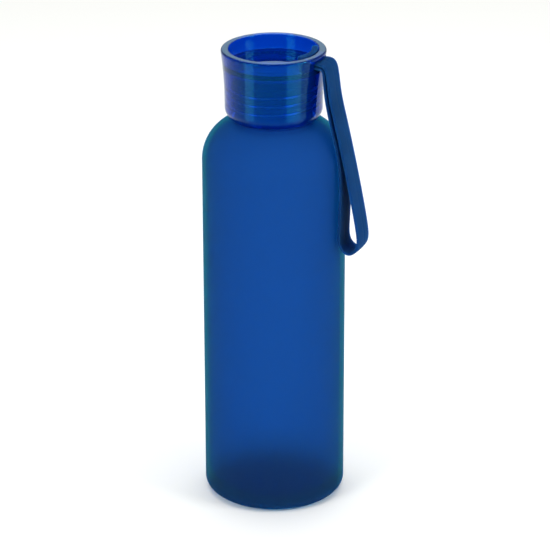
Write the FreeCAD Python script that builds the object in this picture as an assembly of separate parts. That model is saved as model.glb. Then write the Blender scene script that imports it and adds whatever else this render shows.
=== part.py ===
"""Glass water bottle with a clear screw lid and a soft carry strap.

Millimetres, +Z up. The origin is the middle of the flat base. The strap hangs on the +X side.
"""
import FreeCAD, Part
import math
import os

V = FreeCAD.Vector
Z_AXIS = V(0, 0, 1)

# ---------------------------------------------------------------- driving dimensions
BODY_R = 32.5            # outer radius of the glass body
BASE_ROUND = 5.0         # rounding round the foot of the body
SHOULDER_R = 20.3        # radius of the shoulder's arc
SHOULDER_EDGE = 178.65   # height where the side and the shoulder's slope would meet
SHOULDER_SLOPE = 15.1    # degrees that the shoulder still rises at the neck
WALL = 2.4               # glass thickness of the side
FLOOR = 5.0              # glass thickness of the base
INSIDE_ROUND = 6.0       # rounding at the bottom of the inside
NECK_R = 17.5            # neck, at the root of its thread
NECK_BORE_R = 14.6
NECK_TOP = 205.0
NECK_ROUND = 1.5         # rounding where the neck meets the shoulder
LIP_ROUND = 0.9          # rounding of the neck's mouth

PITCH = 4.0              # rise of the screw thread in one turn
THREAD_TURNS = 3.0
THREAD_ROOT = 2.4        # width of a thread where it leaves the wall
THREAD_CREST = 1.1       # width of a thread at its tip
THREAD_DEPTH = 1.3
THREAD_SINK = 0.4        # how far a thread's root runs into its wall
THREAD_START = 125.0     # degrees from +X where both threads start
NECK_THREAD_Z = 191.0    # middle of the neck thread where it starts

SEAL_T = 1.6             # seal ring between the neck's mouth and the lid
SEAL_R = 18.4
SEAL_BORE_R = 13.6

LID_TOP = 215.3
LID_R = 23.6             # at the rim
LID_MID_R = 22.9         # under the rim's flare
LID_LOW_R = 22.1         # at the foot of the skirt's straight side
LID_FLARE_Z = 207.5
LID_LOW_Z = 188.4
LID_FOOT_Z = 183.8
LID_FOOT_R = 19.9        # outer edge of the skirt's flat foot
LID_FOOT_ARC = (21.45, 185.7)   # a point on the round edge between the side and the foot
LID_BORE_R = 19.3        # inside of the skirt, at the root of its thread
RIM_ROUND = 0.9          # rounding of the rim's outer edge
RIM_SIDE_Z = 214.0       # lower end of the rim's straight side
EDGE_ROUND = 0.5         # rounding of the lid's inner edges
WELL_R = 20.2            # open well in the lid's top
WELL_FLOOR = 208.8
LID_DISC = 2.2           # thickness of the disc under the well
SPIGOT_R = 13.2          # short ring under the disc that keeps the seal centred
SPIGOT_WALL = 1.8
SPIGOT_H = 3.6

BAND_W = 12.5            # width of the strap
BAND_T = 1.5             # thickness of one strand
STUB_T = 3.4             # both strands together
STUB_Z = 211.3           # height of the stub's middle in the slot
SLOT_GAP = 0.3           # clearance between the strap and its slot
SLOT_ROUND = 0.8         # rounding of the slot's corners
HEAD_R = 19.9            # outside of the head that stands in the well
HEAD_T = 2.9
HEAD_HALF_ANGLE = 28.5   # degrees each side of +X
HEAD_TOP = 216.0
BEND_X = 27.1            # the line that the strap bends on, outside the rim
BEND_GAP = 0.3
LOOP_ROOT_Z = STUB_Z - STUB_T / 2 - BEND_GAP


# ---------------------------------------------------------------- helpers
def at(point):
    """A (radius, height) point as a place in the XZ plane."""
    return V(point[0], 0, point[1])


def rounded_edges(corners):
    """Edges along (radius, height, rounding) corners. The first and last corners aren't rounded."""
    edges = []
    here = at(corners[0])
    for previous, corner, following in zip(corners, corners[1:], corners[2:]):
        tip = at(corner)
        back = (at(previous) - tip).normalize()
        ahead = (at(following) - tip).normalize()
        rounding = corner[2]
        if rounding:
            half_angle = back.getAngle(ahead) / 2
            inward = (back + ahead).normalize()
            reach = rounding / math.tan(half_angle)
            enter = tip + back * reach
            leave = tip + ahead * reach
            middle = tip + inward * (rounding / math.sin(half_angle) - rounding)
            edges += [Part.makeLine(here, enter), Part.Arc(enter, middle, leave).toShape()]
            here = leave
        else:
            edges.append(Part.makeLine(here, tip))
            here = tip
    edges.append(Part.makeLine(here, at(corners[-1])))
    return edges


def curve(points):
    """A smooth edge through (x, z) points in the XZ plane."""
    spline = Part.BSplineCurve()
    spline.interpolate([at(point) for point in points])
    return spline.toShape()


def revolve(edges):
    """Turn a closed outline in the XZ plane once round Z."""
    return Part.Face(Part.Wire(edges)).revolve(V(0, 0, 0), Z_AXIS, 360)


def tube(outer_r, inner_r, low, high):
    """A plain ring about Z."""
    ring = Part.makeCylinder(outer_r, high - low, V(0, 0, low))
    return ring.cut(Part.makeCylinder(inner_r, high - low, V(0, 0, low)))


def thread(wall_r, direction, start_z):
    """A right-handed thread on a wall: direction +1 stands outward, -1 stands inward."""
    helix = Part.makeHelix(PITCH, PITCH * THREAD_TURNS, wall_r)
    root_r = wall_r - direction * THREAD_SINK
    tip_r = wall_r + direction * THREAD_DEPTH
    corners = [
        V(root_r, 0, -THREAD_ROOT / 2),
        V(tip_r, 0, -THREAD_CREST / 2),
        V(tip_r, 0, THREAD_CREST / 2),
        V(root_r, 0, THREAD_ROOT / 2),
    ]
    profile = Part.makePolygon(corners + corners[:1])
    ridge = Part.Wire(helix.Edges).makePipeShell([profile], True, True)
    ridge.rotate(V(0, 0, 0), Z_AXIS, THREAD_START)
    ridge.translate(V(0, 0, start_z))
    return ridge


def extruded_band(outline, width):
    """A flat band's side outline in the XZ plane, given its width along Y and centred on it."""
    band = Part.Face(outline).extrude(V(0, width, 0))
    band.translate(V(0, -width / 2, 0))
    return band


# ---------------------------------------------------------------- glass bottle
def glass_bottle():
    """The hollow body: flat foot, straight side, round shoulder and threaded neck."""
    slope = math.radians(SHOULDER_SLOPE)
    inner_r = BODY_R - WALL

    def shoulder_z(radius, depth):
        """Height of the shoulder's straight slope at a radius, a depth below the outer face."""
        return SHOULDER_EDGE + (BODY_R - radius) * math.tan(slope) - depth / math.cos(slope)

    outline = [
        (0, 0, 0),
        (BODY_R, 0, BASE_ROUND),
        (BODY_R, shoulder_z(BODY_R, 0), SHOULDER_R),
        (NECK_R, shoulder_z(NECK_R, 0), NECK_ROUND),
        (NECK_R, NECK_TOP, LIP_ROUND),
        (NECK_BORE_R, NECK_TOP, LIP_ROUND),
        (NECK_BORE_R, shoulder_z(NECK_BORE_R, WALL), NECK_ROUND + WALL),
        (inner_r, shoulder_z(inner_r, WALL), SHOULDER_R - WALL),
        (inner_r, FLOOR, INSIDE_ROUND),
        (0, FLOOR, 0),
        (0, 0, 0),
    ]
    return revolve(rounded_edges(outline)).fuse(thread(NECK_R, 1, NECK_THREAD_Z))


# ---------------------------------------------------------------- lid
def lid():
    """The screw lid: rim and well on top, disc, threaded skirt, and the strap's slot."""
    under_disc = WELL_FLOOR - LID_DISC
    top = [
        (0, WELL_FLOOR, 0),
        (WELL_R, WELL_FLOOR, EDGE_ROUND),
        (WELL_R, LID_TOP, EDGE_ROUND),
        (LID_R, LID_TOP, RIM_ROUND),
        (LID_R, RIM_SIDE_Z, 0),
    ]
    under = [
        (LID_FOOT_R, LID_FOOT_Z, 0),
        (LID_BORE_R, LID_FOOT_Z, EDGE_ROUND / 2),
        (LID_BORE_R, under_disc, EDGE_ROUND),
        (0, under_disc, 0),
        (0, WELL_FLOOR, 0),
    ]
    side = curve([(LID_R, RIM_SIDE_Z), (LID_MID_R, LID_FLARE_Z), (LID_LOW_R, LID_LOW_Z)])
    foot = Part.Arc(at((LID_LOW_R, LID_LOW_Z)), at(LID_FOOT_ARC), at((LID_FOOT_R, LID_FOOT_Z))).toShape()
    body = revolve(rounded_edges(top) + [side, foot] + rounded_edges(under))

    spigot = tube(SPIGOT_R, SPIGOT_R - SPIGOT_WALL, under_disc - SPIGOT_H, under_disc)
    ridge = thread(LID_BORE_R, -1, NECK_THREAD_Z - PITCH / 2)
    slot_w = BAND_W + 2 * SLOT_GAP
    slot_h = STUB_T + 2 * SLOT_GAP
    slot = Part.makeBox(LID_R - WELL_R + 4, slot_w, slot_h, V(WELL_R - 3, -slot_w / 2, STUB_Z - slot_h / 2))
    long_edges = [e for e in slot.Edges if abs(e.tangentAt(0).x) > 0.9]
    return body.fuse([spigot, ridge]).cut(slot.makeFillet(SLOT_ROUND, long_edges))


# ---------------------------------------------------------------- seal ring
def lid_seal():
    """The flat soft ring on the neck's mouth."""
    return tube(SEAL_R, SEAL_BORE_R, NECK_TOP, NECK_TOP + SEAL_T)


# ---------------------------------------------------------------- strap
def strap_head():
    """The strap's head in the well and its doubled stub through the slot, out to the bend."""
    low = WELL_FLOOR + SLOT_GAP
    ring = tube(HEAD_R, HEAD_R - HEAD_T, low, HEAD_TOP)
    wedge = Part.makeCylinder(HEAD_R + 1, HEAD_TOP - low, V(0, 0, low), Z_AXIS, 2 * HEAD_HALF_ANGLE)
    wedge.rotate(V(0, 0, 0), Z_AXIS, -HEAD_HALF_ANGLE)
    half = STUB_T / 2
    start_x = HEAD_R - HEAD_T / 2
    stub = Part.makeBox(BEND_X - start_x, BAND_W, STUB_T, V(start_x, -BAND_W / 2, STUB_Z - half))
    knuckle = Part.makeCylinder(half, BAND_W, V(BEND_X, -BAND_W / 2, STUB_Z), V(0, 1, 0))
    return ring.common(wedge).fuse([stub, knuckle])


def strap_loop():
    """The loop below the bend: two strands side by side that part into a teardrop."""
    outer_face = [(28.8, LOOP_ROOT_Z), (29.5, 203.0), (30.9, 195.0), (34.6, 180.0), (38.0, 165.0)]
    outer_face += [(41.2, 150.0), (43.7, 136.0), (44.3, 129.5)]
    bottom = [(44.3, 129.5), (42.8, 125.8), (39.0, 123.8), (35.0, 126.0), (33.5, 130.5)]
    inner_face = [(33.5, 130.5), (33.9, 141.0), (34.3, 152.0), (33.7, 165.0), (31.9, 175.0)]
    inner_face += [(29.2, 186.0), (26.9, 197.0), (25.9, 205.0), (25.5, LOOP_ROOT_Z)]
    rim = Part.makeLine(V(25.5, 0, LOOP_ROOT_Z), V(28.8, 0, LOOP_ROOT_Z))
    outside = Part.Wire([curve(outer_face), curve(bottom), curve(inner_face), rim])

    t = BAND_T
    slope_t = t * 1.03
    hole_outer = [(28.4, 201.0), (29.4, 195.0), (34.6 - slope_t, 180.0), (38.0 - slope_t, 165.0)]
    hole_outer += [(41.2 - slope_t, 150.0), (43.7 - t, 136.0), (44.3 - t, 130.0)]
    hole_bottom = [(44.3 - t, 130.0), (41.6, 126.8), (39.0, 123.8 + t), (36.2, 126.8), (33.5 + t, 130.5)]
    hole_inner = [(33.5 + t, 130.5), (33.9 + t, 141.0), (34.3 + t, 152.0), (33.7 + slope_t, 165.0)]
    hole_inner += [(31.9 + slope_t, 175.0), (29.2 + slope_t, 186.0), (27.9, 198.5), (27.8, 201.0)]
    hole_top = Part.makeLine(V(27.8, 0, 201.0), V(28.4, 0, 201.0))
    inside = Part.Wire([curve(hole_outer), curve(hole_bottom), curve(hole_inner), hole_top])
    return extruded_band(outside, BAND_W).cut(extruded_band(inside, BAND_W + 2))


# ---------------------------------------------------------------- write the nodes
NODES = {
    "glass_bottle": glass_bottle,
    "lid": lid,
    "lid_seal": lid_seal,
    "strap_head": strap_head,
    "strap_loop": strap_loop,
}

os.makedirs("parts", exist_ok=True)
for name, make in NODES.items():
    shape = make().removeSplitter()
    shape.exportStep("parts/" + name + ".step")
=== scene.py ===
"""Looks for the glass water bottle: frosted blue glass, a clear blue lid and a soft silicone strap.

Metres, in the CAD frame: +Z up, the origin in the middle of the base, the strap on the +X side.
"""
import bpy
import math
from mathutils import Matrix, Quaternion, Vector


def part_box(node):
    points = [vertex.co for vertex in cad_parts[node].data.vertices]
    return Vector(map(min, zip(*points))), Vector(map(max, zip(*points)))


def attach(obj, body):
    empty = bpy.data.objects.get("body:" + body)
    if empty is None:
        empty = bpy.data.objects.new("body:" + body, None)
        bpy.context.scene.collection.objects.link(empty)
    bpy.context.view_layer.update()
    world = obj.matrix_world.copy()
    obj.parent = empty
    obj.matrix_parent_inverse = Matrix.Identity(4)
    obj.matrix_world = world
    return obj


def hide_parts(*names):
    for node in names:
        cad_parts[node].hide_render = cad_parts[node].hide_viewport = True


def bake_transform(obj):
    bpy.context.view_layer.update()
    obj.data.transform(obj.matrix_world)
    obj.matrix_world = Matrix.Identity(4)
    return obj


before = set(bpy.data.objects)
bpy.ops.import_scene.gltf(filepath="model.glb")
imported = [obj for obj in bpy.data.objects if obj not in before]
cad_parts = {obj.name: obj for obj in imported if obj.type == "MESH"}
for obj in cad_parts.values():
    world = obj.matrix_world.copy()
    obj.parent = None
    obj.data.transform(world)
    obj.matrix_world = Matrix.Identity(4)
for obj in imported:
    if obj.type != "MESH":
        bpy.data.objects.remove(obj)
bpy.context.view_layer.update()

MM = 0.001


# ---------------------------------------------------------------- small node helpers
SOCKETS = {
    "colour": "Base Color",
    "roughness": "Roughness",
    "ior": "IOR",
    "transmission": "Transmission Weight",
    "specular_level": "Specular IOR Level",
    "specular_tint": "Specular Tint",
    "subsurface": "Subsurface Weight",
    "subsurface_radius": "Subsurface Radius",
    "subsurface_scale": "Subsurface Scale",
}


def new_material(name, **values):
    """A material with its Principled shader, uniform values on the shader's own sockets, and its output."""
    material = bpy.data.materials.new(name)
    material.use_nodes = True
    tree = material.node_tree
    tree.nodes.clear()
    shader = tree.nodes.new("ShaderNodeBsdfPrincipled")
    output = tree.nodes.new("ShaderNodeOutputMaterial")
    tree.links.new(shader.outputs["BSDF"], output.inputs["Surface"])
    for key, value in values.items():
        shader.inputs[SOCKETS[key]].default_value = value
    return material, tree, shader, output


def object_noise(tree, waves_per_metre, detail):
    """Noise in the piece's own coordinates."""
    coords = tree.nodes.new("ShaderNodeTexCoord")
    noise = tree.nodes.new("ShaderNodeTexNoise")
    noise.inputs["Scale"].default_value = waves_per_metre
    noise.inputs["Detail"].default_value = detail
    tree.links.new(coords.outputs["Object"], noise.inputs["Vector"])
    return noise.outputs["Fac"]


def vary_roughness(tree, shader, noise, noise_range, roughness_range):
    """Roughness that follows a noise, from one range to the other."""
    node = tree.nodes.new("ShaderNodeMapRange")
    node.inputs["From Min"].default_value, node.inputs["From Max"].default_value = noise_range
    node.inputs["To Min"].default_value, node.inputs["To Max"].default_value = roughness_range
    tree.links.new(noise, node.inputs["Value"])
    tree.links.new(node.outputs["Result"], shader.inputs["Roughness"])


def bump(tree, shader, height, distance, strength):
    """A bump on the shader's normal. The distance is in metres."""
    node = tree.nodes.new("ShaderNodeBump")
    node.inputs["Distance"].default_value = distance
    node.inputs["Strength"].default_value = strength
    tree.links.new(height, node.inputs["Height"])
    tree.links.new(node.outputs["Normal"], shader.inputs["Normal"])


def absorption(tree, output, colour, density):
    """A colour that deepens with the distance that light goes inside the piece."""
    node = tree.nodes.new("ShaderNodeVolumeAbsorption")
    node.inputs["Color"].default_value = colour
    node.inputs["Density"].default_value = density
    tree.links.new(node.outputs["Volume"], output.inputs["Volume"])


# ---------------------------------------------------------------- materials
MIDDLE_OF_NOISE = (0.3, 0.7)


def frosted_glass():
    """Blue glass with a fine satin frost on it. The walls seen edge on, and the thick base, are darker."""
    material, tree, shader, output = new_material(
        "frosted_blue_glass", colour=(0.074, 0.240, 0.615, 1), transmission=0.93, ior=1.10,
        specular_tint=(0.1, 0.45, 1.0, 1))
    vary_roughness(tree, shader, object_noise(tree, 45.0, 3.0), MIDDLE_OF_NOISE, (0.73, 0.80))
    bump(tree, shader, object_noise(tree, 5200.0, 1.0), 0.02 * MM, 0.35)
    absorption(tree, output, (0.0, 0.932, 0.735, 1), 232.0)
    return material


def clear_blue_plastic():
    """Clear hard plastic, coloured all through, with slight marks of handling."""
    material, tree, shader, output = new_material(
        "clear_blue_plastic", colour=(0.0002, 0.070, 0.68, 1), transmission=0.9, ior=1.40,
        specular_tint=(0.03, 0.75, 1.0, 1))
    vary_roughness(tree, shader, object_noise(tree, 160.0, 4.0), (0.35, 0.75), (0.015, 0.06))
    absorption(tree, output, (0.0, 0.62, 0.80, 1), 450.0)
    return material


def blue_silicone():
    """Soft matte silicone with a fine moulded skin, and light that passes a little way through it."""
    material, tree, shader, output = new_material(
        "blue_silicone", ior=1.42, specular_level=0.008, specular_tint=(0.3, 0.6, 1.0, 1),
        subsurface=1.0, subsurface_radius=(0.3, 0.6, 1.0), subsurface_scale=8 * MM)
    tone = object_noise(tree, 70.0, 4.0)
    ramp = tree.nodes.new("ShaderNodeValToRGB")
    tones = ((0.0040, 0.026, 0.087, 1), (0.0056, 0.033, 0.109, 1))
    for stop, place, colour in zip(ramp.color_ramp.elements, MIDDLE_OF_NOISE, tones):
        stop.position = place
        stop.color = colour
    tree.links.new(tone, ramp.inputs["Fac"])
    tree.links.new(ramp.outputs["Color"], shader.inputs["Base Color"])
    vary_roughness(tree, shader, tone, MIDDLE_OF_NOISE, (0.52, 0.62))
    bump(tree, shader, object_noise(tree, 2600.0, 2.0), 0.03 * MM, 0.5)
    return material


def pale_silicone():
    """The seal's milky silicone."""
    material, tree, shader, output = new_material("milky_silicone", colour=(0.5, 0.6, 0.72, 1), ior=1.41)
    vary_roughness(tree, shader, object_noise(tree, 220.0, 3.0), MIDDLE_OF_NOISE, (0.42, 0.55))
    return material


def set_material(obj, material):
    """Put one material on the whole of a piece."""
    obj.data.materials.clear()
    obj.data.materials.append(material)


# ---------------------------------------------------------------- strap
BAND_W = 12.5 * MM
BAND_T = 1.3 * MM               # at the band's edges
BAND_EDGE_ROUND = 0.6 * MM
BAND_CROWN = 0.22 * MM          # how far each face stands out in its middle
BAND_GROOVE = 0.2 * MM          # depth of the fine groove along the middle of each face
GROOVE_SHARE = 0.1              # the groove's half width, as a share of the face's half width
FACE_SHARES = (0.7, 0.4, 0.14, 0.07, 0.0, -0.07, -0.14, -0.4, -0.7)
CORNER_STEPS = 5
STEPS_PER_SPAN = 8

STRAND_UPPER_Z = 212.1          # middles of the two strands in the slot, in mm
STRAND_LOWER_Z = 210.45

HEAD_OUTER_R = 19.9 * MM
HEAD_T = 2.9 * MM
HEAD_EDGE_ROUND = 0.8 * MM
HEAD_HALF_ANGLE = math.radians(27.5)
HEAD_END_ANGLE = math.radians(1.7)      # the rounded end past the half angle
HEAD_STEPS = 28
END_SHARES = (0.0, 0.45, 0.8, 0.95)     # how the section grows over the rounded end
END_SECTION = 0.55                      # the section's thickness at the very end, as a share


def rounded_strip(width, thickness, rounding, crown, groove):
    """A section's (across, out) points, anticlockwise: round edges, a slight crown and a middle groove."""
    half_w, half_t = width / 2, thickness / 2
    points = []
    corners = [(1, 1, 0), (-1, 1, 90), (-1, -1, 180), (1, -1, 270)]
    for side, face, start in corners:
        for i in range(CORNER_STEPS + 1):
            a = math.radians(start + 90 * i / CORNER_STEPS)
            x = side * (half_w - rounding) + rounding * math.cos(a)
            y = face * (half_t - rounding) + rounding * math.sin(a)
            points.append((x, y))
        if start in (0, 180):
            for share in FACE_SHARES:
                x = side * share * (half_w - rounding)
                lift = crown * (1 - share * share) - groove * max(0.0, 1 - abs(share) / GROOVE_SHARE)
                points.append((x, face * (half_t + lift)))
    return points


def spline_points(points, per_span):
    """Points along a smooth Catmull-Rom line through the given points."""
    padded = [points[0] * 2 - points[1]] + points + [points[-1] * 2 - points[-2]]
    line = []
    for p0, p1, p2, p3 in zip(padded, padded[1:], padded[2:], padded[3:]):
        for i in range(per_span):
            t = i / per_span
            line.append(0.5 * (2 * p1 + (p2 - p0) * t + (2 * p0 - 5 * p1 + 4 * p2 - p3) * t * t
                               + (3 * p1 - p0 - 3 * p2 + p3) * t * t * t))
    line.append(points[-1].copy())
    return line


def skin_object(name, verts, rings, count):
    """A closed smooth mesh over rings of count points each, with both ends capped."""
    faces = []
    for i in range(rings - 1):
        for j in range(count):
            k = (j + 1) % count
            faces.append((i * count + j, i * count + k, (i + 1) * count + k, (i + 1) * count + j))
    faces.append(tuple(reversed(range(count))))
    faces.append(tuple((rings - 1) * count + j for j in range(count)))
    mesh = bpy.data.meshes.new(name)
    mesh.from_pydata(verts, [], faces)
    mesh.validate()
    for polygon in mesh.polygons:
        polygon.use_smooth = True
    obj = bpy.data.objects.new(name, mesh)
    bpy.context.scene.collection.objects.link(obj)
    return obj


def band_line():
    """The band's centre line, from the head out through the slot, round the loop and back."""
    outer = [(19.0, STRAND_UPPER_Z), (22.0, STRAND_UPPER_Z), (24.6, STRAND_UPPER_Z)]
    outer += [(26.6, STRAND_UPPER_Z - 0.7), (27.9, 209.2), (28.7, 205.0), (30.2, 195.0), (33.8, 180.0)]
    outer += [(37.25, 165.0), (40.45, 150.0), (42.9, 137.0), (43.5, 130.5)]
    bottom = [(42.2, 126.6), (38.9, 124.65), (35.7, 126.6), (34.3, 131.0)]
    inner = [(34.55, 141.0), (34.9, 152.0), (34.45, 164.0), (32.7, 174.5), (30.0, 185.5), (27.8, 196.0)]
    inner += [(26.8, 204.5), (26.35, 208.6), (25.3, 210.2)]
    inner += [(23.6, STRAND_LOWER_Z), (21.5, STRAND_LOWER_Z), (19.0, STRAND_LOWER_Z)]
    return [Vector((x, 0, z)) * MM for x, z in outer + bottom + inner]


def strap():
    """The whole strap below the head: one band in the XZ plane, its width along Y, that bends at the slot."""
    section = rounded_strip(BAND_W, BAND_T, BAND_EDGE_ROUND, BAND_CROWN, BAND_GROOVE)
    line = spline_points(band_line(), STEPS_PER_SPAN)
    verts = []
    for i, p in enumerate(line):
        before = line[max(i - 1, 0)]
        after = line[min(i + 1, len(line) - 1)]
        along = (after - before).normalized()
        out = Vector((along.z, 0, -along.x))
        for across, lift in section:
            verts.append(p + Vector((0, across, 0)) + out * lift)
    return skin_object("strap_band", verts, len(line), len(section))


def strap_head():
    """The head that stands in the lid's well, an arc of thick band with round edges and round ends."""
    low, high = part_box("strap_head")
    middle_r = HEAD_OUTER_R - HEAD_T / 2
    section = rounded_strip(high.z - low.z, HEAD_T, HEAD_EDGE_ROUND, 0.0, 0.0)
    end = []
    for i, share in enumerate(END_SHARES):
        past = HEAD_END_ANGLE * (1 - i / len(END_SHARES)) ** 1.5
        end.append((HEAD_HALF_ANGLE + past, END_SECTION + (1 - END_SECTION) * share))
    rings = [(-angle, size) for angle, size in end]
    rings += [(-HEAD_HALF_ANGLE + 2 * HEAD_HALF_ANGLE * i / HEAD_STEPS, 1.0) for i in range(HEAD_STEPS + 1)]
    rings += reversed(end)
    verts = []
    for angle, size in rings:
        shorter = 1 - (1 - size) * 0.25
        for across, lift in section:
            radius = middle_r + lift * size
            z = (low.z + high.z) / 2 + across * shorter
            verts.append((radius * math.cos(angle), radius * math.sin(angle), z))
    return skin_object("strap_head_piece", verts, len(rings), len(section))


# ---------------------------------------------------------------- studio
CAMERA_AZIMUTH = -66.3          # degrees from +X, anticlockwise from above
CAMERA_ELEVATION = 22.75
CAMERA_ROLL = -0.12
CAMERA_DISTANCE = 1.2733
CAMERA_TARGET = (0.00037, 0.00016, 0.10594)
CAMERA_LENS = 181.4
CAMERA_SENSOR = 36.0

FLOOR_HALF = 12.0
FLOOR_DROP = 0.1 * MM           # keeps the floor off the bottle's flat base
LID_AIM = (0, 0, 0.2)
MIDDLE_AIM = (0, 0, 0.11)

STRIP_HEIGHT = 0.3
STRIP_POWER = 1.89              # watts per metre of width
# name, degrees round from the camera, width
STRIPS = (("left", -57, 0.125), ("right", 47, 0.2))
SOFTBOXES = (("left", -46), ("right", 66))


def area_light(name, place, look_at, size, power, colour=(1, 1, 1), seen=False):
    """A rectangular softbox that faces a point. The camera doesn't see it unless it is said to."""
    data = bpy.data.lights.new(name, "AREA")
    data.shape = "RECTANGLE"
    data.size, data.size_y = size
    data.energy = power
    data.color = colour
    obj = bpy.data.objects.new(name, data)
    obj.location = place
    obj.rotation_mode = "QUATERNION"
    obj.rotation_quaternion = (Vector(look_at) - Vector(place)).to_track_quat("-Z", "Y")
    obj.visible_camera = seen
    bpy.context.scene.collection.objects.link(obj)
    return obj


def from_camera(degrees, distance, height):
    """A place round the bottle, some degrees anticlockwise from the camera as seen from above."""
    a = math.radians(CAMERA_AZIMUTH + degrees)
    return Vector((distance * math.cos(a), distance * math.sin(a), height))


def pale_floor():
    """A wide plain floor."""
    mesh = bpy.data.meshes.new("floor")
    corners = [(-FLOOR_HALF, -FLOOR_HALF, 0), (FLOOR_HALF, -FLOOR_HALF, 0),
               (FLOOR_HALF, FLOOR_HALF, 0), (-FLOOR_HALF, FLOOR_HALF, 0)]
    mesh.from_pydata(corners, [], [(0, 1, 2, 3)])
    floor = bpy.data.objects.new("floor", mesh)
    floor.location.z = -FLOOR_DROP
    bpy.context.scene.collection.objects.link(floor)
    material, tree, shader, output = new_material(
        "pale_floor", colour=(0.97, 0.935, 0.89, 1), roughness=0.9, specular_level=0.1)
    set_material(floor, material)
    return floor


def studio():
    """A plain pale floor, a bright plain surround and soft lights."""
    floor = pale_floor()

    world = bpy.data.worlds.new("studio")
    world.use_nodes = True
    background = world.node_tree.nodes["Background"]
    background.inputs["Color"].default_value = (0.88, 0.96, 1.0, 1)
    background.inputs["Strength"].default_value = 0.43
    bpy.context.scene.world = world

    area_light("top_light", from_camera(180, 1.05, 4.3), MIDDLE_AIM, (4.5, 4.5), 141.0, seen=True)
    # gives the lid's rim and the front of its well their soft light
    area_light("back_softbox", from_camera(180, 0.6, 0.47), LID_AIM, (0.6, 0.3), 0.58, (0.6, 0.9, 1.0))
    # two upright strips make the long streaks on the lid's skirt; they are kept off the floor
    off_the_floor = bpy.data.collections.new("off_the_floor")
    off_the_floor.objects.link(floor)
    off_the_floor.collection_objects[0].light_linking.link_state = "EXCLUDE"
    for side, swing, width in STRIPS:
        place = from_camera(swing, 0.32, 0.15)
        strip = area_light(side + "_strip", place, (0, 0, place.z), (width, STRIP_HEIGHT),
                           STRIP_POWER * width, (0.85, 0.95, 1.0))
        strip.light_linking.receiver_collection = off_the_floor
    # two softboxes above the rim make the streaks inside the well
    for side, swing in SOFTBOXES:
        area_light(side + "_softbox", from_camera(swing, 0.6, 0.45), LID_AIM, (0.26, 0.22), 2.0,
                   (0.92, 0.97, 1.0))


def camera():
    """The camera, at the angle that the bottle is seen from."""
    data = bpy.data.cameras.new("camera")
    data.lens = CAMERA_LENS
    data.sensor_width = CAMERA_SENSOR
    data.clip_start, data.clip_end = 0.05, 20.0
    obj = bpy.data.objects.new("camera", data)
    a, e = math.radians(CAMERA_AZIMUTH), math.radians(CAMERA_ELEVATION)
    back = Vector((math.cos(a) * math.cos(e), math.sin(a) * math.cos(e), math.sin(e)))
    roll = Quaternion((0, 0, 1), math.radians(CAMERA_ROLL))
    obj.location = Vector(CAMERA_TARGET) + back * CAMERA_DISTANCE
    obj.rotation_mode = "QUATERNION"
    obj.rotation_quaternion = (-back).to_track_quat("-Z", "Y") @ roll
    bpy.context.scene.collection.objects.link(obj)
    bpy.context.scene.camera = obj


silicone = blue_silicone()
set_material(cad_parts["glass_bottle"], frosted_glass())
set_material(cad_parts["lid"], clear_blue_plastic())
set_material(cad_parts["lid_seal"], pale_silicone())

band = strap()
set_material(band, silicone)
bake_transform(band)
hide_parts("strap_loop")

head = strap_head()
set_material(head, silicone)
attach(head, "lid")
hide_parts("strap_head")

studio()
camera()
bpy.context.scene.view_settings.view_transform = "Standard"
